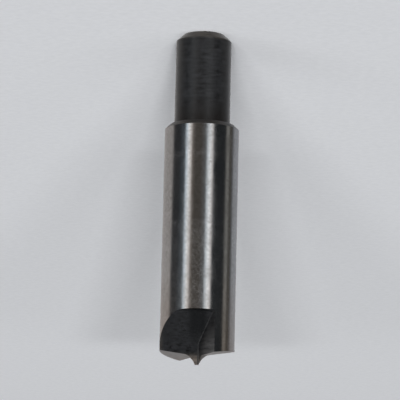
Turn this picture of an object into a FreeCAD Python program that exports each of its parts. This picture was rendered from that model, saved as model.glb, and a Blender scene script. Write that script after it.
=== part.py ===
import FreeCAD, Part
import math
import os
import Sketcher

# Spot weld cutter: a short two-lipped cutter with a small pilot point, all one piece.
# It stands on its shank end, and +Z runs along the axis to the pilot tip.
# The front gash opens towards -Y, and the tool cuts turning right-handed.

doc = FreeCAD.newDocument("spot_weld_cutter")

# Driving dimensions in millimetres and degrees
driving = [
    ("shank_diameter", 6.0),
    ("shank_length", 10.0),
    ("shank_end_chamfer", 0.75),
    ("body_diameter", 8.0),
    ("body_length", 25.1),
    ("shoulder_chamfer", 0.5),
    ("lip_relief", 9.0),
    ("pilot_height", 0.9),
    ("pilot_base_radius", 1.35),
    ("pilot_tip_radius", 0.2),
    ("pilot_hollow_radius", 2.0),
    ("pilot_seat_depth", 0.03),
    ("web_thickness", 0.4),
    ("web_height", 1.34),
    ("web_blend_radius", 0.6),
    ("gash_height", 4.56),
    ("gash_ramp", 45.0),
    ("gash_runout_radius", 1.4),
    ("rake_direction", 26.0),
    ("rake_offset", 0.1),
    ("root_radius", 0.25),
]

# Heights and reaches worked out from them
worked = [
    ("body_radius", "=body_diameter / 2"),
    ("lip_height", "=shank_length + body_length"),
    ("pilot_top", "=lip_height + pilot_height"),
    ("pilot_seat", "=lip_height - pilot_base_radius * tan(lip_relief) - pilot_seat_depth"),
    ("web_foot", "=lip_height - web_height"),
    ("gash_floor", "=lip_height - gash_height"),
    ("cut_reach", "=body_diameter"),
    ("cut_top", "=pilot_top + body_radius"),
]

sheet = doc.addObject("Spreadsheet::Sheet", "Sizes")
for row, (alias, value) in enumerate(driving + worked, start=1):
    sheet.set(f"A{row}", alias)
    sheet.set(f"B{row}", str(value))
    sheet.setAlias(f"B{row}", alias)
doc.recompute()

body = doc.addObject("PartDesign::Body", "spot_weld_cutter")
body.Label = "spot_weld_cutter"
body.Placement = FreeCAD.Placement()


def size(alias):
    return float(sheet.get(alias))


def origin_part(role):
    return next(part for part in body.Origin.OriginFeatures if part.Role == role)


def add_on_plane(kind, name, role):
    feature = body.newObject(kind, name)
    feature.AttachmentSupport = [(origin_part(role), "")]
    feature.MapMode = "FlatFace"
    return feature


def add_line(sketch, start, end):
    sketch.addGeometry(Part.LineSegment(FreeCAD.Vector(*start, 0), FreeCAD.Vector(*end, 0)), False)


def add_arc(sketch, start, end, centre):
    # The arc turns anticlockwise, the short way round its centre
    first, last, middle = (FreeCAD.Vector(*spot, 0) for spot in (start, end, centre))
    crown = ((first + last) * 0.5 - middle).normalize() * (first - middle).Length + middle
    sketch.addGeometry(Part.Arc(first, crown, last), False)


def drive(sketch, kind, where, expression):
    # The solver starts from the drawn value, and the sheet then sets it
    value = sketch.evalExpression(expression)
    value = math.radians(value) if kind == "Angle" else value
    index = sketch.addConstraint(Sketcher.Constraint(kind, *where, value))
    sketch.setExpression(f"Constraints[{index}]", expression)


def pin_point(sketch, geometry, end, across, up):
    # A coordinate of zero holds the point on the sketch's own axis
    for kind, axis, expression in (("DistanceX", -2, across), ("DistanceY", -1, up)):
        if expression == "0":
            sketch.addConstraint(Sketcher.Constraint("PointOnObject", geometry, end, axis))
        else:
            drive(sketch, kind, (geometry, end), expression)


def join(sketch, kind, pairs):
    for first, second in pairs:
        sketch.addConstraint(Sketcher.Constraint(kind, first, 2, second, 1))


def draw_polygon(sketch, corners):
    spots = [tuple(sketch.evalExpression(text) for text in corner) for corner in corners]
    following = [(number + 1) % len(spots) for number in range(len(spots))]
    for number, after in enumerate(following):
        add_line(sketch, spots[number], spots[after])
    join(sketch, "Coincident", enumerate(following))
    for number, (across, up) in enumerate(corners):
        pin_point(sketch, number, 1, across, up)


def revolve(name, profile):
    turned_form = body.newObject("PartDesign::Revolution", name)
    turned_form.Profile = profile
    turned_form.ReferenceAxis = (origin_part("Z_Axis"), [""])
    turned_form.Angle = 360
    doc.recompute()
    return turned_form


# Turned blank: the shank with its end chamfer, then the shoulder and the body
blank_profile = add_on_plane("Sketcher::SketchObject", "blank_profile", "XZ_Plane")
draw_polygon(blank_profile, [
    ("0", "0"),
    ("Sizes.shank_diameter / 2 - Sizes.shank_end_chamfer", "0"),
    ("Sizes.shank_diameter / 2", "Sizes.shank_end_chamfer"),
    ("Sizes.shank_diameter / 2", "Sizes.shank_length"),
    ("Sizes.body_radius - Sizes.shoulder_chamfer", "Sizes.shank_length"),
    ("Sizes.body_radius", "Sizes.shank_length + Sizes.shoulder_chamfer"),
    ("Sizes.body_radius", "Sizes.lip_height"),
    ("0", "Sizes.lip_height"),
])
revolve("blank", blank_profile)

# Relief behind the two lips: planes that fall away on both sides of the line of the lips
relief_profile = add_on_plane("Sketcher::SketchObject", "relief_profile", "XZ_Plane")
upright = FreeCAD.Vector(0, 1, 0)
relief_turn = FreeCAD.Rotation(upright, -size("rake_direction"))
relief_profile.AttachmentOffset = FreeCAD.Placement(FreeCAD.Vector(), relief_turn)
relief_profile.setExpression("AttachmentOffset.Rotation.Angle", "-Sizes.rake_direction")
relief_edge = "Sizes.lip_height - Sizes.cut_reach * tan(Sizes.lip_relief)"
draw_polygon(relief_profile, [
    ("0", "Sizes.lip_height"),
    ("Sizes.cut_reach", relief_edge),
    ("Sizes.cut_reach", "Sizes.cut_top"),
    ("-Sizes.cut_reach", "Sizes.cut_top"),
    ("-Sizes.cut_reach", relief_edge),
])
relief = body.newObject("PartDesign::Pocket", "lip_relief")
relief.Profile = relief_profile
relief.Type = "ThroughAll"
relief.SideType = "Symmetric"
doc.recompute()

# Pilot point: hollow-ground sides that run out into the relief
pilot_profile = add_on_plane("Sketcher::SketchObject", "pilot_profile", "XZ_Plane")
tip = (size("pilot_tip_radius"), size("pilot_top"))
foot = (size("pilot_base_radius"), size("pilot_seat"))
run, drop = foot[0] - tip[0], tip[1] - foot[1]
chord = math.hypot(run, drop)
stand_off = math.sqrt(size("pilot_hollow_radius") ** 2 - (chord / 2) ** 2) / chord
hollow_centre = ((tip[0] + foot[0]) / 2 + drop * stand_off, (tip[1] + foot[1]) / 2 + run * stand_off)
add_line(pilot_profile, (0, foot[1]), (0, tip[1]))
add_line(pilot_profile, (0, tip[1]), tip)
add_arc(pilot_profile, tip, foot, hollow_centre)
add_line(pilot_profile, foot, (0, foot[1]))
join(pilot_profile, "Coincident", ((0, 1), (1, 2), (2, 3), (3, 0)))
pin_point(pilot_profile, 0, 1, "0", "Sizes.pilot_seat")
pin_point(pilot_profile, 1, 1, "0", "Sizes.pilot_top")
pin_point(pilot_profile, 2, 1, "Sizes.pilot_tip_radius", "Sizes.pilot_top")
pin_point(pilot_profile, 2, 2, "Sizes.pilot_base_radius", "Sizes.pilot_seat")
drive(pilot_profile, "Radius", (2,), "Sizes.pilot_hollow_radius")
revolve("pilot", pilot_profile)

# Gash wall seen from the side: the run-out at the outside, the ramp, then the thin web
gash_profile = add_on_plane("Sketcher::SketchObject", "gash_profile", "YZ_Plane")
gash_profile.setExpression("AttachmentOffset.Base.z", "Sizes.cut_reach")
ramp = math.radians(size("gash_ramp"))
ramp_rise, ramp_run = math.sin(ramp), math.cos(ramp)
floor, outside, top = size("gash_floor"), -size("cut_reach"), size("cut_top")
web_face, web_foot = -size("web_thickness") / 2, size("web_foot")
ramp_start = web_face - (web_foot - floor) / math.tan(ramp)
runout_radius, blend_radius = size("gash_runout_radius"), size("web_blend_radius")
runout_trim = runout_radius * math.tan(ramp / 2)
blend_trim = blend_radius * math.tan((math.pi / 2 - ramp) / 2)
runout_start = (ramp_start - runout_trim, floor)
runout_end = (ramp_start + runout_trim * ramp_run, floor + runout_trim * ramp_rise)
blend_start = (web_face - blend_trim * ramp_run, web_foot - blend_trim * ramp_rise)
blend_end = (web_face, web_foot + blend_trim)
add_line(gash_profile, (outside, floor), runout_start)
add_arc(gash_profile, runout_start, runout_end, (runout_start[0], floor + runout_radius))
add_line(gash_profile, runout_end, blend_start)
add_arc(gash_profile, blend_start, blend_end, (web_face - blend_radius, blend_end[1]))
add_line(gash_profile, blend_end, (web_face, top))
add_line(gash_profile, (web_face, top), (outside, top))
add_line(gash_profile, (outside, top), (outside, floor))
join(gash_profile, "Tangent", ((0, 1), (1, 2), (2, 3), (3, 4)))
join(gash_profile, "Coincident", ((4, 5), (5, 6), (6, 0)))
for kind, line in (("Horizontal", 0), ("Vertical", 4), ("Horizontal", 5), ("Vertical", 6)):
    gash_profile.addConstraint(Sketcher.Constraint(kind, line))
pin_point(gash_profile, 0, 1, "-Sizes.cut_reach", "Sizes.gash_floor")
pin_point(gash_profile, 4, 2, "-Sizes.web_thickness / 2", "Sizes.cut_top")
drive(gash_profile, "Angle", (0, 1, 2, 1), "Sizes.gash_ramp")
drive(gash_profile, "Radius", (1,), "Sizes.gash_runout_radius")
drive(gash_profile, "Radius", (3,), "Sizes.web_blend_radius")
ramp_top = gash_profile.addGeometry(Part.Point(FreeCAD.Vector(web_face, web_foot, 0)), True)
for line in (2, 4):
    gash_profile.addConstraint(Sketcher.Constraint("PointOnObject", ramp_top, 1, line))
drive(gash_profile, "DistanceY", (ramp_top, 1), "Sizes.web_foot")
doc.recompute()

# Rake face: an upright plane just past the axis, where the cut of the front gash ends
rake_plane = add_on_plane("PartDesign::Plane", "rake_plane", "YZ_Plane")
rake_turn = FreeCAD.Rotation(upright, -size("rake_direction"))
rake_plane.AttachmentOffset = FreeCAD.Placement(FreeCAD.Vector(), rake_turn)
rake_plane.setExpression("AttachmentOffset.Rotation.Angle", "-Sizes.rake_direction")
rake_plane.setExpression("AttachmentOffset.Base.x", "Sizes.rake_offset * sin(Sizes.rake_direction)")
rake_plane.setExpression("AttachmentOffset.Base.z", "-Sizes.rake_offset * cos(Sizes.rake_direction)")
doc.recompute()
front_gash = body.newObject("PartDesign::Pocket", "front_gash")
front_gash.Profile = gash_profile
front_gash.Type = "UpToFace"
front_gash.UpToFace = (rake_plane, [""])
doc.recompute()

# Two gashes, half a turn apart, one for each lip
lip_count = 2
gashes = body.newObject("PartDesign::PolarPattern", "gashes")
gashes.Originals = [front_gash]
gashes.Axis = (origin_part("Z_Axis"), [""])
gashes.Angle = 360
gashes.Occurrences = lip_count
body.Tip = gashes
doc.recompute()

# Directions that tell a gash's rake face and wall: the rake face looks along rake_facing,
# and every stretch of the wall runs straight along wall_run
rake_facing = rake_plane.Placement.Rotation.multVec(FreeCAD.Vector(0, 0, 1))
wall_run = FreeCAD.Vector(1, 0, 0)
near_zero = 0.0001


def is_root(shape, edge):
    # A root is the inside corner where the rake face meets the wall
    middle = edge.valueAt((edge.FirstParameter + edge.LastParameter) / 2)
    normals = []
    for face in shape.ancestorsOfType(edge, Part.Face):
        normals.append(face.normalAt(*face.Surface.parameter(middle)))
    for number in range(lip_count):
        turn = FreeCAD.Rotation(FreeCAD.Vector(0, 0, 1), 360 * number / lip_count)
        facing, along = turn.multVec(rake_facing), turn.multVec(wall_run)
        on_rake = any(1 - normal.dot(facing) < near_zero for normal in normals)
        on_wall = any(abs(normal.dot(along)) < near_zero for normal in normals)
        if on_rake and on_wall:
            return True
    return False


roots = body.newObject("PartDesign::Fillet", "gash_roots")
edges = enumerate(gashes.Shape.Edges, start=1)
roots.Base = (gashes, [f"Edge{number}" for number, edge in edges if is_root(gashes.Shape, edge)])
roots.setExpression("Radius", "Sizes.root_radius")
body.Tip = roots
doc.recompute()

for item in doc.Objects:
    if "Invalid" in item.State or "Error" in item.State:
        raise RuntimeError(f"{item.Label} did not build")
if body.Shape.isNull() or not body.Shape.isValid() or len(body.Shape.Solids) != 1:
    raise RuntimeError("the cutter is not one sound solid")

os.makedirs("parts", exist_ok=True)
body.Shape.exportStep(f"parts/{body.Label}.step")
print(f"{body.Label}: {body.Shape.Volume:.2f} cubic mm, {size('pilot_top'):.2f} mm long")
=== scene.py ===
import bpy
import math
from mathutils import Matrix, Vector


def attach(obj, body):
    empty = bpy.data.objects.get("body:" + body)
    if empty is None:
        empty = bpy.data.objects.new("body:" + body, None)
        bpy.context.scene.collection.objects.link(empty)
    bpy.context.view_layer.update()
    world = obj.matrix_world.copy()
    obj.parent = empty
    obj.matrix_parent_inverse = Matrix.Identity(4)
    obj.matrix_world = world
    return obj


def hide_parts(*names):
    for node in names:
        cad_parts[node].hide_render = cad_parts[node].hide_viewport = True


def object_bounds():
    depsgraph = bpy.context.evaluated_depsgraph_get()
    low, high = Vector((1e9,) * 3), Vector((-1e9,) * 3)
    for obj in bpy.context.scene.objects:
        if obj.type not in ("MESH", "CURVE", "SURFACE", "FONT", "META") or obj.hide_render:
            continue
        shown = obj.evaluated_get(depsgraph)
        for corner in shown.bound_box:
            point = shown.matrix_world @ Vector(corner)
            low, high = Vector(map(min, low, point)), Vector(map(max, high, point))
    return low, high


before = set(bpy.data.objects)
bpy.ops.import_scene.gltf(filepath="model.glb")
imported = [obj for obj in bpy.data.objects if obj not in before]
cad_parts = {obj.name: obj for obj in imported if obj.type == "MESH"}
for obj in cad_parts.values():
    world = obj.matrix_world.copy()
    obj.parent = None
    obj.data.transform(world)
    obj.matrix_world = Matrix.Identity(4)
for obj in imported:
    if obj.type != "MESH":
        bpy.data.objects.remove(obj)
cadLow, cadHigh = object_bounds()
mm = 0.001
perMm = 1.0 / mm
print("frame loaded")

# the cutter's form in mm and degrees; its diameter and length come from the frame
cutter = {
    "bodyRadius": cadHigh.x / mm,
    "pilotTop": cadHigh.z / mm,
    "shankRadius": 3.0,
    "shankLength": 10.0,
    "endChamfer": 0.75,
    "shoulderChamfer": 0.5,
    "turnedEdge": 0.06,
    "turnSteps": 240,
    "cornerSteps": 6,
    "reliefAngle": 9.0,
    "pilotHeight": 0.9,
    "pilotTipRadius": 0.2,
    "pilotBaseRadius": 1.35,
    "pilotHollow": 2.0,
    "pilotSeatDepth": 0.03,
    "pilotSink": 0.3,
    "hollowSteps": 14,
    "webHalf": 0.2,
    "webHeight": 1.34,
    "webBlend": 0.6,
    "gashHeight": 4.56,
    "gashRamp": 45.0,
    "gashRunout": 1.4,
    "gashSteps": 12,
    "rakeDirection": 26.0,
    "rakeOffset": 0.1,
    "rootRadius": 0.25,
    "cutReach": 9.0,
    "sharpAngle": 12.0,
}
lipHeight = cutter["pilotTop"] - cutter["pilotHeight"]
rakeTurn = math.radians(cutter["rakeDirection"])
reliefFall = math.tan(math.radians(cutter["reliefAngle"]))


# node helpers
def addNode(tree, kind, **settings):
    node = tree.nodes.new(kind)
    for name, value in settings.items():
        setattr(node, name, value)
    return node


def feed(tree, socket, source):
    if isinstance(source, bpy.types.NodeSocket):
        tree.links.new(source, socket)
    else:
        socket.default_value = source


def calculate(tree, operation, *values, clamp=False):
    node = addNode(tree, "ShaderNodeMath", operation=operation, use_clamp=clamp)
    for socket, value in zip(node.inputs, values):
        feed(tree, socket, value)
    return node.outputs[0]


def remap(tree, value, fromMin, fromMax, toMin, toMax, smooth=False):
    kind = "SMOOTHSTEP" if smooth else "LINEAR"
    node = addNode(tree, "ShaderNodeMapRange", interpolation_type=kind)
    for socket, source in zip(node.inputs, (value, fromMin, fromMax, toMin, toMax)):
        feed(tree, socket, source)
    return node.outputs[0]


def mixColour(tree, share, first, second, blend="MIX"):
    node = addNode(tree, "ShaderNodeMix", data_type="RGBA", blend_type=blend)
    feed(tree, node.inputs["Factor"], share)
    # a mix node has sockets for numbers and vectors too, and its colours come after them
    feed(tree, node.inputs[6], first)
    feed(tree, node.inputs[7], second)
    return node.outputs[2]


def startGroup(name, inputs, outputs):
    group = bpy.data.node_groups.new(name, "ShaderNodeTree")
    for label, kind, value in inputs:
        socket = group.interface.new_socket(label, in_out="INPUT", socket_type=kind)
        socket.default_value = value
    for label in outputs:
        group.interface.new_socket(label, in_out="OUTPUT", socket_type="NodeSocketFloat")
    given = group.nodes.new("NodeGroupInput").outputs
    result = group.nodes.new("NodeGroupOutput").inputs
    return group, given, result


# fine parallel lines left by a grinding wheel: long along one way, close together across it
def makeGrindingLines():
    group, given, result = startGroup("grindingLines", (
        ("Turn", "NodeSocketFloat", 0.0),
        ("Stretch", "NodeSocketVector", (1.0, 1.0, 1.0)),
        ("Detail", "NodeSocketFloat", 3.0),
    ), ("Height", "Tone"))
    place = addNode(group, "ShaderNodeTexCoord")
    turned = addNode(group, "ShaderNodeVectorRotate", rotation_type="Z_AXIS")
    feed(group, turned.inputs["Vector"], place.outputs["Object"])
    feed(group, turned.inputs["Angle"], given["Turn"])
    stretched = addNode(group, "ShaderNodeVectorMath", operation="MULTIPLY")
    feed(group, stretched.inputs[0], turned.outputs[0])
    feed(group, stretched.inputs[1], given["Stretch"])
    lines = addNode(group, "ShaderNodeTexNoise")
    feed(group, lines.inputs["Vector"], stretched.outputs[0])
    feed(group, lines.inputs["Scale"], perMm)
    feed(group, lines.inputs["Detail"], given["Detail"])
    feed(group, lines.inputs["Roughness"], 0.65)
    feed(group, result["Height"], lines.outputs[0])
    feed(group, result["Tone"], remap(group, lines.outputs[0], 0.3, 0.7, 0.0, 1.0))
    return group


# soft uneven patches, as finger marks and a thin film of oil leave
def makePatches():
    group, given, result = startGroup("patches", (
        ("Size", "NodeSocketFloat", 2.0),
        ("Spread", "NodeSocketFloat", 0.2),
        ("Seed", "NodeSocketFloat", 0.0),
    ), ("Mask",))
    place = addNode(group, "ShaderNodeTexCoord")
    cloud = addNode(group, "ShaderNodeTexNoise", noise_dimensions="4D")
    feed(group, cloud.inputs["Vector"], place.outputs["Object"])
    feed(group, cloud.inputs["W"], given["Seed"])
    feed(group, cloud.inputs["Scale"], calculate(group, "DIVIDE", perMm, given["Size"]))
    feed(group, cloud.inputs["Detail"], 5.0)
    feed(group, cloud.inputs["Distortion"], 0.6)
    low = calculate(group, "SUBTRACT", 0.5, given["Spread"])
    high = calculate(group, "ADD", 0.5, given["Spread"])
    feed(group, result["Mask"], remap(group, cloud.outputs[0], low, high, 0.0, 1.0, smooth=True))
    return group


# a band along one direction where the finish is rubbed, darker or tinted, with a ragged border
def makeBand():
    group, given, result = startGroup("band", (
        ("Along", "NodeSocketVector", (0.0, 0.0, 1.0)),
        ("Middle", "NodeSocketFloat", 0.0),
        ("From", "NodeSocketFloat", 0.0),
        ("To", "NodeSocketFloat", 1.0),
        ("Ragged", "NodeSocketFloat", 0.1),
        ("Grain", "NodeSocketFloat", 0.3),
    ), ("Mask",))
    place = addNode(group, "ShaderNodeTexCoord")
    cloud = addNode(group, "ShaderNodeTexNoise")
    feed(group, cloud.inputs["Vector"], place.outputs["Object"])
    feed(group, cloud.inputs["Scale"], calculate(group, "DIVIDE", perMm, given["Grain"]))
    feed(group, cloud.inputs["Detail"], 4.0)
    reach = addNode(group, "ShaderNodeVectorMath", operation="DOT_PRODUCT")
    feed(group, reach.inputs[0], place.outputs["Object"])
    feed(group, reach.inputs[1], given["Along"])
    along = calculate(group, "MULTIPLY", reach.outputs["Value"], perMm)
    away = calculate(group, "ABSOLUTE", calculate(group, "SUBTRACT", along, given["Middle"]))
    grain = calculate(group, "SUBTRACT", cloud.outputs[0], 0.5)
    away = calculate(group, "ADD", away, calculate(group, "MULTIPLY", grain, given["Ragged"]))
    feed(group, result["Mask"], remap(group, away, given["From"], given["To"], 1.0, 0.0, smooth=True))
    return group


grindingLines = makeGrindingLines()
patches = makePatches()
band = makeBand()


def placeGroup(tree, group, **values):
    node = addNode(tree, "ShaderNodeGroup", node_tree=group)
    for label, value in values.items():
        feed(tree, node.inputs[label], value)
    return node.outputs


def placeBand(tree, along, limits, ragged, grain, middle=0.0):
    # full strength at the first limit, nothing at the second, both in mm from the band's middle
    near, far = limits
    given = placeGroup(
        tree, band, Along=along, Middle=middle, From=near, To=far, Ragged=ragged, Grain=grain,
    )
    return given["Mask"]


def startMaterial(name, metallic, ior, anisotropy):
    material = bpy.data.materials.new(name)
    material.use_nodes = True
    tree = material.node_tree
    shader = next(node for node in tree.nodes if node.type == "BSDF_PRINCIPLED")
    shader.inputs["Metallic"].default_value = metallic
    shader.inputs["IOR"].default_value = ior
    shader.inputs["Anisotropic"].default_value = anisotropy
    return material, tree, shader


def raiseLines(tree, shader, height, depth):
    bump = addNode(tree, "ShaderNodeBump")
    bump.inputs["Strength"].default_value = 1.0
    bump.inputs["Distance"].default_value = depth * mm
    feed(tree, bump.inputs["Height"], height)
    feed(tree, shader.inputs["Normal"], bump.outputs[0])


# bright ground surfaces: the body, the lips and the pilot point differ in these values
groundSteel = {
    "colour": (0.62, 0.625, 0.635, 1), "tint": (0.63, 0.573, 0.536, 1), "tintBand": (35.5, 24.0),
    "roughness": (0.12, 0.2), "lineTone": 0.22, "lineDepth": 0.0001, "smudge": 0.15, "specks": 0.28,
    "turn": 0.0, "stretch": (1.5, 1.5, 8.0), "patchSize": 1.8, "anisotropy": 0.4,
}
lipSteel = {
    "colour": (0.48, 0.465, 0.45, 1), "tint": (0.46, 0.405, 0.375, 1), "tintBand": (36.0, 33.5),
    "roughness": (0.28, 0.4), "lineTone": 0.22, "lineDepth": 0.0006, "smudge": 0.1, "specks": 0.1,
    "turn": math.pi / 2 + rakeTurn, "stretch": (0.5, 9.0, 0.5), "patchSize": 1.2, "anisotropy": 0.0,
}
pilotSteel = {
    "colour": (0.36, 0.335, 0.31, 1), "tint": (0.35, 0.30, 0.26, 1), "tintBand": (36.2, 35.0),
    "roughness": (0.26, 0.4), "lineTone": 0.2, "lineDepth": 0.0005, "smudge": 0.1, "specks": 0.1,
    "turn": 0.0, "stretch": (1.0, 1.0, 10.0), "patchSize": 0.6, "anisotropy": 0.0,
}
# what all the ground surfaces share
groundDetail = {
    "lineDetail": 5.0, "smudgeSpread": 0.22, "smudgeSeed": 1.7,
    "speckSize": 0.26, "speckSpread": 0.17, "speckSeed": 5.5, "grime": (0.5, 0.48, 0.46, 1),
    "tintRagged": 7.0, "tintGrain": 3.0,
}
# a film of oil on the body scatters a little light and keeps the warm tint off its middle
oilFilm = {
    "strength": 0.0085, "up": (14.3, 15.0), "across": (3.8, 6.2), "farSide": 0.2,
    "patchSize": 2.88, "patchSpread": 0.16, "patchSeed": 7.3,
    "everywhere": 0.25, "tipPatches": 0.9, "tipEven": 0.35, "even": 0.38, "speckled": 1.15,
    "ringHeights": (13.85, 21.25), "ringHalf": (0.1, 0.5), "ringStrength": 0.8,
    "cleanAcross": (2.0, 2.9), "cleanShare": 0.75,
}
upwards = (0.0, 0.0, 1.0)
sideways = (1.0, 0.0, 0.0)


def addOilFilm(tree, shader, specks):
    # one side of the tip half is hazy, and so are the scuffed rings
    film = placeGroup(
        tree, patches,
        Size=oilFilm["patchSize"], Spread=oilFilm["patchSpread"], Seed=oilFilm["patchSeed"],
    )
    tipHalf = placeBand(tree, upwards, oilFilm["up"], 0.6, 0.6, cutter["pilotTop"])
    thick = calculate(tree, "MULTIPLY_ADD", tipHalf, oilFilm["tipPatches"], oilFilm["everywhere"])
    thick = calculate(tree, "MULTIPLY", thick, film["Mask"])
    thick = calculate(tree, "MULTIPLY_ADD", tipHalf, oilFilm["tipEven"], thick)
    for height in oilFilm["ringHeights"]:
        ring = placeBand(tree, upwards, oilFilm["ringHalf"], 0.4, 0.4, height)
        thick = calculate(tree, "MULTIPLY_ADD", ring, oilFilm["ringStrength"], thick)
    farSide = oilFilm["farSide"]
    side = placeBand(tree, sideways, oilFilm["across"], 0.8, 0.8, cutter["bodyRadius"])
    side = calculate(tree, "MULTIPLY_ADD", side, 1.0 - farSide, farSide)
    thick = calculate(tree, "MULTIPLY", thick, side)
    grain = calculate(tree, "MULTIPLY_ADD", specks, oilFilm["speckled"], oilFilm["even"])
    thick = calculate(tree, "MULTIPLY", thick, grain)
    haze = calculate(tree, "MULTIPLY", thick, oilFilm["strength"])
    feed(tree, shader.inputs["Metallic"], calculate(tree, "SUBTRACT", 1.0, haze, clamp=True))


def groundFinish(name, look, oiled=False):
    material, tree, shader = startMaterial(name, 1.0, 1.5, look["anisotropy"])
    detail = groundDetail
    lines = placeGroup(
        tree, grindingLines,
        Turn=look["turn"], Stretch=look["stretch"], Detail=detail["lineDetail"],
    )
    smudge = placeGroup(
        tree, patches,
        Size=look["patchSize"], Spread=detail["smudgeSpread"], Seed=detail["smudgeSeed"],
    )
    specks = placeGroup(
        tree, patches,
        Size=detail["speckSize"], Spread=detail["speckSpread"], Seed=detail["speckSeed"],
    )
    # the steel is warmer towards the tip
    warm = placeBand(tree, upwards, look["tintBand"], detail["tintRagged"], detail["tintGrain"])
    if oiled:
        clean = placeBand(tree, sideways, oilFilm["cleanAcross"], 0.3, 2.0)
        clean = calculate(tree, "MULTIPLY_ADD", clean, -oilFilm["cleanShare"], 1.0)
        warm = calculate(tree, "MULTIPLY", warm, clean)
        addOilFilm(tree, shader, specks["Mask"])
    colour = mixColour(tree, warm, look["colour"], look["tint"])
    # lines, smudges and the gaps between the specks darken it
    lineShade = calculate(tree, "MULTIPLY", lines["Tone"], look["lineTone"])
    smudgeShade = calculate(tree, "MULTIPLY", smudge["Mask"], look["smudge"])
    shade = calculate(tree, "ADD", lineShade, smudgeShade)
    gaps = calculate(tree, "SUBTRACT", 1.0, specks["Mask"])
    shade = calculate(tree, "MULTIPLY_ADD", gaps, look["specks"], shade)
    dark = mixColour(tree, 1.0, colour, detail["grime"], "MULTIPLY")
    feed(tree, shader.inputs["Base Color"], mixColour(tree, shade, colour, dark))
    feed(tree, shader.inputs["Roughness"], remap(tree, smudge["Mask"], 0.0, 1.0, *look["roughness"]))
    raiseLines(tree, shader, lines["Height"], look["lineDepth"])
    return material


# blackened surfaces: the shank with its rubbed end, the milled gash walls and the rake faces
# the deep colour in each look is painted shade: on the shank under the shoulder, over the shoulder's
# underside, low in the gash and along its middle
shankOxide = {
    "colour": (0.0024, 0.0025, 0.0028, 1), "paintedShade": (0.0014, 0.0011, 0.0010, 1),
    "rubbed": (0.016, 0.0138, 0.0118, 1), "rubUp": (0.6, 0.95), "rubAcross": (9.0, 8.0),
    "paintedShadeAcross": (9.0, 10.0), "paintedShadeUp": (9.9, 7.0), "mottle": 0.9, "roughness": (0.40, 0.52),
    "lineDepth": 0.0008, "turn": 0.0, "stretch": (0.8, 0.8, 5.0), "ior": 1.62, "dust": 0.068,
}
gashOxide = {
    "colour": (0.0023, 0.0024, 0.0027, 1), "paintedShade": (0.0004, 0.0005, 0.0007, 1),
    "rubbed": (0.034, 0.029, 0.025, 1),
    "paintedShadeAcross": (0.5, 1.3), "paintedShadeUp": (32.2, 34.0), "rubUp": (35.7, 34.6), "rubAcross": (4.1, 3.5),
    "mottle": 0.35, "roughness": (0.22, 0.56), "lineDepth": 0.0012,
    "turn": 0.0, "stretch": (1.5, 4.0, 4.0), "ior": 1.45, "dust": 0.0,
}
shoulderOxide = {
    "colour": (0.0105, 0.0096, 0.0092, 1), "paintedShade": (0.006, 0.0053, 0.005, 1),
    "rubbed": (0.02, 0.0175, 0.0155, 1),
    "paintedShadeAcross": (9.0, 10.0), "paintedShadeUp": (10.0, 9.0), "rubUp": (10.5, 10.1), "rubAcross": (9.0, 8.0),
    "mottle": 0.7, "roughness": (0.33, 0.46), "lineDepth": 0.0006,
    "turn": 0.0, "stretch": (0.3, 0.3, 6.0), "ior": 1.6, "dust": 0.02,
}
rootOxide = {
    "colour": (0.004, 0.004, 0.0041, 1), "paintedShade": (0.0035, 0.0035, 0.0037, 1),
    "rubbed": (0.009, 0.0089, 0.009, 1),
    "paintedShadeAcross": (9.0, 10.0), "paintedShadeUp": (30.0, 31.5), "rubUp": (36.0, 34.5), "rubAcross": (9.0, 8.0),
    "mottle": 0.3, "roughness": (0.34, 0.46), "lineDepth": 0.0004,
    "turn": 0.0, "stretch": (3.0, 3.0, 1.0), "ior": 1.5, "dust": 0.0,
}
rakeOxide = {
    "colour": (0.0045, 0.0045, 0.0047, 1), "paintedShade": (0.0012, 0.0012, 0.0014, 1),
    "rubbed": (0.041, 0.0405, 0.0405, 1),
    "paintedShadeAcross": (0.2, 1.5), "paintedShadeUp": (36.5, 37.5), "rubUp": (35.8, 31.5), "rubAcross": (9.0, 8.0),
    "mottle": 0.5, "roughness": (0.34, 0.46), "lineDepth": 0.0008,
    "turn": 0.0, "stretch": (0.4, 0.4, 5.0), "ior": 1.5, "dust": 0.0,
}
# what all the blackened surfaces share
oxideDetail = {
    "dustRoughness": 0.4, "lineDetail": 2.0, "mottleSpread": 0.22, "mottleSeed": 4.1,
    "low": (0.1, 0.1, 0.1, 1), "high": (2.6, 2.6, 2.6, 1), "lineShare": 0.65, "mottleShare": 0.35,
    # the deep share keeps most of the rubbed wear out of the painted shade
    "sideWear": 0.3, "evenWear": 0.35, "paintedShadeOverWear": 0.8,
}


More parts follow.
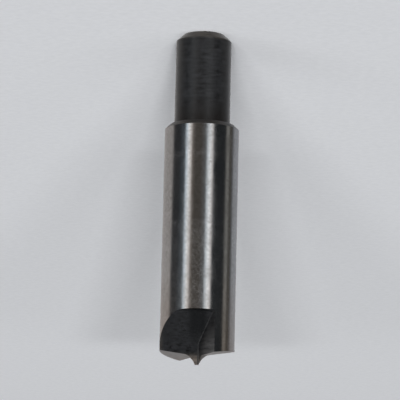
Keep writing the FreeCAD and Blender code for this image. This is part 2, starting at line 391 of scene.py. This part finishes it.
def oxideFinish(name, look):
    material, tree, shader = startMaterial(name, 0.0, look["ior"], 0.0)
    detail = oxideDetail
    # fine dust lightens the black where it is seen at a flat angle
    shader.inputs["Sheen Weight"].default_value = look["dust"]
    shader.inputs["Sheen Roughness"].default_value = detail["dustRoughness"]
    lines = placeGroup(
        tree, grindingLines,
        Turn=look["turn"], Stretch=look["stretch"], Detail=detail["lineDetail"],
    )
    mottle = placeGroup(
        tree, patches,
        Size=look["mottle"], Spread=detail["mottleSpread"], Seed=detail["mottleSeed"],
    )
    low = mixColour(tree, 1.0, look["colour"], detail["low"], "MULTIPLY")
    high = mixColour(tree, 1.0, look["colour"], detail["high"], "MULTIPLY")
    grain = calculate(tree, "MULTIPLY", lines["Tone"], detail["lineShare"])
    grain = calculate(tree, "MULTIPLY_ADD", mottle["Mask"], detail["mottleShare"], grain)
    base = mixColour(tree, grain, low, high)
    # painted shade: a darker black is laid where shade falls, along the middle and low down in the
    # gash, on the shank next to the shoulder and over the shoulder's underside
    across = placeBand(tree, sideways, look["paintedShadeAcross"], 0.15, 0.8)
    paintedShade = calculate(tree, "MULTIPLY", across, placeBand(tree, upwards, look["paintedShadeUp"], 0.3, 0.8))
    base = mixColour(tree, paintedShade, base, look["paintedShade"])
    # towards the lips and the outer edges it is rubbed thin along the milling lines
    ends = placeBand(tree, upwards, look["rubUp"], 0.5, 0.4)
    sides = placeBand(tree, sideways, look["rubAcross"], 0.2, 0.4)
    sides = calculate(tree, "MULTIPLY", sides, detail["sideWear"])
    worn = calculate(tree, "MAXIMUM", ends, sides)
    streaks = calculate(tree, "ADD", lines["Tone"], detail["evenWear"], clamp=True)
    worn = calculate(tree, "MULTIPLY", worn, streaks)
    # wear shows less under the painted shade
    bare = calculate(tree, "MULTIPLY_ADD", paintedShade, -detail["paintedShadeOverWear"], 1.0)
    worn = calculate(tree, "MULTIPLY", worn, bare)
    feed(tree, shader.inputs["Base Color"], mixColour(tree, worn, base, look["rubbed"]))
    feed(tree, shader.inputs["Roughness"], remap(tree, mottle["Mask"], 0.0, 1.0, *look["roughness"]))
    raiseLines(tree, shader, lines["Height"], look["lineDepth"])
    return material


materials = {
    "body": groundFinish("groundBody", groundSteel, oiled=True),
    "lips": groundFinish("groundLips", lipSteel),
    "pilot": groundFinish("groundPilot", pilotSteel),
    "shank": oxideFinish("blackShank", shankOxide),
    "gash": oxideFinish("blackGash", gashOxide),
    "rake": oxideFinish("blackRake", rakeOxide),
    "root": oxideFinish("blackRoot", rootOxide),
    "shoulder": oxideFinish("blackShoulder", shoulderOxide),
}
print("materials made")


# meshes
def softenCorners(points, radii, steps):
    # rounds corners of an open outline with an arc each; a radius of zero keeps the corner
    outline = []
    for index, radius in enumerate(radii):
        corner = Vector(points[index])
        if radius == 0:
            outline.append(corner)
            continue
        back = (Vector(points[index - 1]) - corner).normalized()
        ahead = (Vector(points[index + 1]) - corner).normalized()
        half = back.angle(ahead) / 2
        centre = corner + (back + ahead).normalized() * (radius / math.sin(half))
        first = corner + back * (radius / math.tan(half)) - centre
        last = corner + ahead * (radius / math.tan(half)) - centre
        sweep = first.angle(last)
        for step in range(steps + 1):
            share = step / steps
            spot = first * math.sin((1 - share) * sweep) + last * math.sin(share * sweep)
            outline.append(centre + spot / math.sin(sweep))
    return outline


def stackLoops(name, loops, material):
    # a closed solid through loops that have as many points each, with a flat cap at both ends
    count = len(loops[0])
    points = [Vector(spot) * mm for loop in loops for spot in loop]
    faces = [list(range(count))[::-1], list(range(len(points) - count, len(points)))]
    for level in range(len(loops) - 1):
        low, high = level * count, (level + 1) * count
        for index in range(count):
            after = (index + 1) % count
            faces.append([low + index, low + after, high + after, high + index])
    mesh = bpy.data.meshes.new(name)
    mesh.from_pydata(points, [], faces)
    mesh.materials.append(material)
    solid = bpy.data.objects.new(name, mesh)
    bpy.context.scene.collection.objects.link(solid)
    return solid


def turn(name, outline, material):
    # turns an outline of (radius, height) points round the axis
    angles = [2 * math.pi * step / cutter["turnSteps"] for step in range(cutter["turnSteps"])]
    loops = []
    for radius, height in outline:
        loops.append([(radius * math.cos(a), radius * math.sin(a), height) for a in angles])
    return stackLoops(name, loops, material)


def makeBlank():
    body, shank, edge = cutter["bodyRadius"], cutter["shankRadius"], cutter["turnedEdge"]
    length, end, chamfer = cutter["shankLength"], cutter["endChamfer"], cutter["shoulderChamfer"]
    corners = [
        (shank - end, 0), (shank, end), (shank, length),
        (body - chamfer, length), (body, length + chamfer), (body, lipHeight + 1),
    ]
    # the first point stays on the end face, so that its corner can be rounded too
    radii = [0, edge, edge, edge, edge, edge, 0]
    outline = softenCorners([(0, 0)] + corners, radii, cutter["cornerSteps"])
    blank = turn("spotWeldCutter", outline[1:], materials["body"])
    blank.data.materials.append(materials["shank"])
    blank.data.materials.append(materials["shoulder"])
    for face in blank.data.polygons:
        if face.center.z < (length + chamfer) * mm:
            face.material_index = 2 if face.center.z > (length - edge / 4) * mm else 1
    return blank


def makeRelief():
    # the space above the two relief planes, a roof whose ridge is the line of the lips
    reach = cutter["cutReach"]
    along = Vector((-math.sin(rakeTurn), -math.cos(rakeTurn), 0))
    across = Vector((math.cos(rakeTurn), -math.sin(rakeTurn), 0))
    eaves = lipHeight - reach * reliefFall
    top = lipHeight + reach
    outline = [(0, lipHeight), (reach, eaves), (reach, top), (-reach, top), (-reach, eaves)]
    loops = []
    for end in (-reach, reach):
        loops.append([across * x + along * end + Vector((0, 0, z)) for x, z in outline])
    return stackLoops("relief", loops, materials["lips"])


def makePilot():
    # hollow-ground sides on an arc from the tip to the foot, sunk a little into the body
    tip = Vector((cutter["pilotTipRadius"], cutter["pilotTop"]))
    seat = lipHeight - cutter["pilotBaseRadius"] * reliefFall - cutter["pilotSeatDepth"]
    foot = Vector((cutter["pilotBaseRadius"], seat))
    chord = foot - tip
    standOff = math.sqrt(cutter["pilotHollow"] ** 2 - (chord.length / 2) ** 2)
    centre = (tip + foot) / 2 + Vector((-chord.y, chord.x)).normalized() * standOff
    first, last = foot - centre, tip - centre
    sweep = first.angle(last)
    outline = [(foot.x, foot.y - cutter["pilotSink"])]
    for step in range(cutter["hollowSteps"] + 1):
        share = step / cutter["hollowSteps"]
        spot = first * math.sin((1 - share) * sweep) + last * math.sin(share * sweep)
        outline.append(centre + spot / math.sin(sweep))
    return turn("pilot", outline, materials["pilot"])


def makeGash(name, halfTurn):
    # stacked plans of one gash: the wall runs along X to the root, and the rake face leaves it
    reach, ramp = cutter["cutReach"], math.radians(cutter["gashRamp"])
    webFoot, floor = lipHeight - cutter["webHeight"], lipHeight - cutter["gashHeight"]
    web = cutter["webHalf"]
    rampStart = web + (webFoot - floor) / math.tan(ramp)
    side = [(reach, floor), (rampStart, floor), (web, webFoot), (web, lipHeight + reach)]
    runout = softenCorners(side[:3], [0, cutter["gashRunout"]], cutter["gashSteps"])[1:]
    blend = softenCorners(side[1:], [0, cutter["webBlend"]], cutter["gashSteps"])[1:]
    spin = Matrix.Rotation(math.pi if halfTurn else 0, 3, "Z")
    loops = []
    for wall, height in runout + blend + [Vector(side[3])]:
        root = Vector((-cutter["rakeOffset"] / math.cos(rakeTurn) - wall * math.tan(rakeTurn), -wall))
        far = Vector((root.x - (reach - wall) * math.tan(rakeTurn), -reach))
        corners = [(reach, -wall), root, far]
        plan = softenCorners(corners, [0, cutter["rootRadius"], 0], cutter["gashSteps"])
        plan.append(Vector((reach, -reach)))
        loops.append([spin @ Vector((spot.x, spot.y, height)) for spot in plan])
    gash = stackLoops(name, loops, materials["gash"])
    gash.data.materials.append(materials["rake"])
    gash.data.materials.append(materials["root"])
    for face in gash.data.polygons[2:]:
        stretch = (face.index - 2) % len(loops[0])
        if stretch > cutter["gashSteps"]:
            face.material_index = 1
        elif 0 < stretch <= cutter["gashSteps"] / 2:
            face.material_index = 2
    return gash


def shapeWith(solid, tool, operation):
    # the tool's own material goes with the faces that it leaves
    step = solid.modifiers.new(tool.name, "BOOLEAN")
    step.operation = operation
    step.solver = "EXACT"
    step.material_mode = "TRANSFER"
    step.object = tool


def makeCutter():
    blank = makeBlank()
    steps = [
        (makeRelief(), "DIFFERENCE"),
        (makePilot(), "UNION"),
        (makeGash("frontGash", False), "DIFFERENCE"),
        (makeGash("rearGash", True), "DIFFERENCE"),
    ]
    for tool, operation in steps:
        shapeWith(blank, tool, operation)
    bpy.context.view_layer.update()
    shaped = blank.evaluated_get(bpy.context.evaluated_depsgraph_get())
    mesh = bpy.data.meshes.new_from_object(shaped)
    blank.modifiers.clear()
    blank.data = mesh
    for tool, operation in steps:
        bpy.data.objects.remove(tool)
    mesh.shade_smooth()
    mesh.set_sharp_from_angle(angle=math.radians(cutter["sharpAngle"]))
    normals = blank.modifiers.new("evenNormals", "WEIGHTED_NORMAL")
    normals.keep_sharp = True
    return blank


tool = makeCutter()
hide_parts("spot_weld_cutter")
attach(tool, "root")
print("cutter shaped:", len(tool.data.polygons), "faces")

# a big sheet of matt pale paper
paper = {
    "halfSize": 6.0, "colour": (0.80, 0.815, 0.845, 1), "fleck": (0.75, 0.765, 0.795, 1),
    "grain": 0.8, "roughness": 0.9,
}


def makePaper():
    mesh = bpy.data.meshes.new("paperFloor")
    half = paper["halfSize"]
    corners = [(-half, -half, 0), (half, -half, 0), (half, half, 0), (-half, half, 0)]
    mesh.from_pydata(corners, [], [(0, 1, 2, 3)])
    floor = bpy.data.objects.new("paperFloor", mesh)
    bpy.context.scene.collection.objects.link(floor)
    material, tree, shader = startMaterial("palePaper", 0.0, 1.4, 0.0)
    grain = placeGroup(tree, patches, Size=paper["grain"], Spread=0.3, Seed=2.9)
    colour = mixColour(tree, grain["Mask"], paper["colour"], paper["fleck"])
    feed(tree, shader.inputs["Base Color"], colour)
    shader.inputs["Roughness"].default_value = paper["roughness"]
    mesh.materials.append(material)
    floor.visible_glossy = False
    return floor


makePaper()

# what the bright steel mirrors: upright lit panels in a dim room, with pale cloth behind the tool.
# azimuth is from the camera towards image right, all in degrees
lightTent = {
    "room": (0.0245, 0.027, 0.029, 1),
    "panels": [
        {"azimuth": -5, "width": 34, "soft": 8, "colour": (0.082, 0.073, 0.064, 1)},
        {"azimuth": 9, "width": 10, "soft": 8, "colour": (0.118, 0.115, 0.115, 1)},
        {"azimuth": -27, "width": 10, "soft": 8, "colour": (0.16, 0.135, 0.115, 1)},
        {"azimuth": -79, "width": 30, "soft": 12, "colour": (0.037, 0.038, 0.040, 1)},
        {"azimuth": -60, "width": 12, "soft": 12, "colour": (0.062, 0.072, 0.082, 1)},
        {"azimuth": -40.2, "width": 14, "soft": 12, "colour": (1.18, 1.19, 1.18, 1), "top": 72},
        {"azimuth": -46.8, "width": 5, "soft": 6, "colour": (0.80, 0.96, 1.08, 1), "top": 72},
        {"azimuth": -33.4, "width": 5, "soft": 6, "colour": (0.90, 0.82, 0.76, 1)},
        {"azimuth": 27, "width": 15.5, "soft": 12, "colour": (1.19, 1.21, 1.22, 1)},
        {"azimuth": 19.6, "width": 5, "soft": 6, "colour": (0.72, 0.80, 0.85, 1)},
        {"azimuth": 33.4, "width": 4, "soft": 5, "colour": (1.0, 0.93, 0.89, 1)},
        {"azimuth": 90.5, "width": 15, "soft": 5, "colour": (0.235, 0.23, 0.215, 1)},
        {"azimuth": 105, "width": 14, "soft": 5, "colour": (0.085, 0.080, 0.072, 1)},
        {"azimuth": -165, "width": 44, "soft": 24, "colour": (0.46, 0.445, 0.435, 1)},
        {"azimuth": -124, "width": 52, "soft": 13, "colour": (0.41, 0.385, 0.370, 1)},
        {"azimuth": 147, "width": 62, "soft": 16, "colour": (0.34, 0.35, 0.37, 1)},
        {"azimuth": 180, "width": 30, "soft": 10, "colour": (0.36, 0.36, 0.37, 1)},
    ],
    "panelTop": 42.0,
    "panelFoot": -42.0,
    "above": (0.26, 0.265, 0.27, 1),
    "below": (0.20, 0.20, 0.20, 1),
    "edgeSoft": 16.0,
    "seenByCamera": (0.60, 0.605, 0.62, 1),
    "mattDim": 0.85,
}


def makeTent():
    world = bpy.data.worlds.new("lightTent")
    bpy.context.scene.world = world
    world.use_nodes = True
    tree = world.node_tree
    direction = addNode(tree, "ShaderNodeTexCoord")
    split = addNode(tree, "ShaderNodeSeparateXYZ")
    feed(tree, split.inputs[0], direction.outputs["Generated"])
    aside = calculate(tree, "MULTIPLY", split.outputs["X"], -1.0)
    ahead = calculate(tree, "MULTIPLY", split.outputs["Y"], -1.0)
    azimuth = calculate(tree, "DEGREES", calculate(tree, "ARCTAN2", aside, ahead))
    elevation = calculate(tree, "DEGREES", calculate(tree, "ARCSINE", split.outputs["Z"]))
    soft, top, foot = lightTent["edgeSoft"], lightTent["panelTop"], lightTent["panelFoot"]
    rise = remap(tree, elevation, top, top + soft, 0.0, 1.0, smooth=True)
    fall = remap(tree, elevation, foot, foot - soft, 0.0, 1.0, smooth=True)
    colour = mixColour(tree, rise, lightTent["room"], lightTent["above"])
    colour = mixColour(tree, fall, colour, lightTent["below"])
    for panel in lightTent["panels"]:
        away = calculate(tree, "SUBTRACT", azimuth, float(panel["azimuth"]))
        away = calculate(tree, "ABSOLUTE", calculate(tree, "WRAP", away, 180.0, -180.0))
        inner, outer = (panel["width"] - panel["soft"]) / 2, (panel["width"] + panel["soft"]) / 2
        share = remap(tree, away, inner, outer, 1.0, 0.0, smooth=True)
        top = float(panel.get("top", lightTent["panelTop"]))
        below = remap(tree, elevation, top, top + soft, 1.0, 0.0, smooth=True)
        above = remap(tree, elevation, foot, foot - soft, 1.0, 0.0, smooth=True)
        share = calculate(tree, "MULTIPLY", share, calculate(tree, "MULTIPLY", below, above))
        colour = mixColour(tree, share, colour, panel["colour"])
    seen = addNode(tree, "ShaderNodeLightPath")
    matt = calculate(tree, "MULTIPLY", seen.outputs["Is Diffuse Ray"], lightTent["mattDim"])
    colour = mixColour(tree, matt, colour, (0, 0, 0, 1))
    colour = mixColour(tree, seen.outputs["Is Camera Ray"], colour, lightTent["seenByCamera"])
    background = next(node for node in tree.nodes if node.type == "BACKGROUND")
    feed(tree, background.inputs["Color"], colour)


makeTent()

# soft lights that the steel doesn't mirror: two pairs low in front throw the long soft shadows,
# and a weak pair stands higher up
lamps = {
    "frontLeft": {
        "azimuth": -3.0, "elevation": 9.1, "distance": 14.0, "size": (0.9, 0.12), "power": 2320.0,
    },
    "frontRight": {
        "azimuth": 3.0, "elevation": 9.1, "distance": 14.0, "size": (0.9, 0.12), "power": 2860.0,
    },
    "sideLeft": {
        "azimuth": -9.0, "elevation": 9.6, "distance": 14.0, "size": (1.6, 0.44), "power": 1190.0,
    },
    "sideRight": {
        "azimuth": 9.0, "elevation": 9.6, "distance": 14.0, "size": (1.6, 0.44), "power": 1040.0,
    },
    "highLeft": {
        "azimuth": -31.0, "elevation": 62.0, "distance": 3.0, "size": (1.35, 1.35), "power": 8.3,
    },
    "highRight": {
        "azimuth": 31.0, "elevation": 62.0, "distance": 3.0, "size": (1.35, 1.35), "power": 5.2,
    },
}


def makeLamp(name, look):
    data = bpy.data.lights.new(name, "AREA")
    data.shape = "RECTANGLE"
    data.size, data.size_y = look["size"]
    data.energy = look["power"]
    lamp = bpy.data.objects.new(name, data)
    bpy.context.scene.collection.objects.link(lamp)
    azimuth, elevation = math.radians(look["azimuth"]), math.radians(look["elevation"])
    level = math.cos(elevation)
    away = Vector((-math.sin(azimuth) * level, -math.cos(azimuth) * level, math.sin(elevation)))
    lamp.location = away * look["distance"]
    lamp.rotation_euler = away.to_track_quat("Z", "Y").to_euler()
    lamp.visible_glossy = False


for lampName, lampLook in lamps.items():
    makeLamp(lampName, lampLook)
print("light set")

# the photograph looks down on the standing tool and shows it upside down, so the camera is rolled
viewpoint = {
    "place": (0, -373.42, 90.32), "target": (0.039, 0, 18.118), "roll": 181.33, "lens": 318.61,
}


def makeCamera():
    place, target = Vector(viewpoint["place"]) * mm, Vector(viewpoint["target"]) * mm
    ahead = (target - place).normalized()
    level = ahead.cross(Vector((0, 0, 1))).normalized()
    upright = level.cross(ahead)
    roll = math.radians(viewpoint["roll"])
    right = level * math.cos(roll) + upright * math.sin(roll)
    up = upright * math.cos(roll) - level * math.sin(roll)
    camera = bpy.data.objects.new("camera", bpy.data.cameras.new("camera"))
    bpy.context.scene.collection.objects.link(camera)
    facing = Matrix((right, up, -ahead)).transposed().to_4x4()
    camera.matrix_world = Matrix.Translation(place) @ facing
    camera.data.lens = viewpoint["lens"]
    bpy.context.scene.camera = camera


makeCamera()
bpy.context.scene.view_settings.view_transform = "Standard"

print("scene ready")
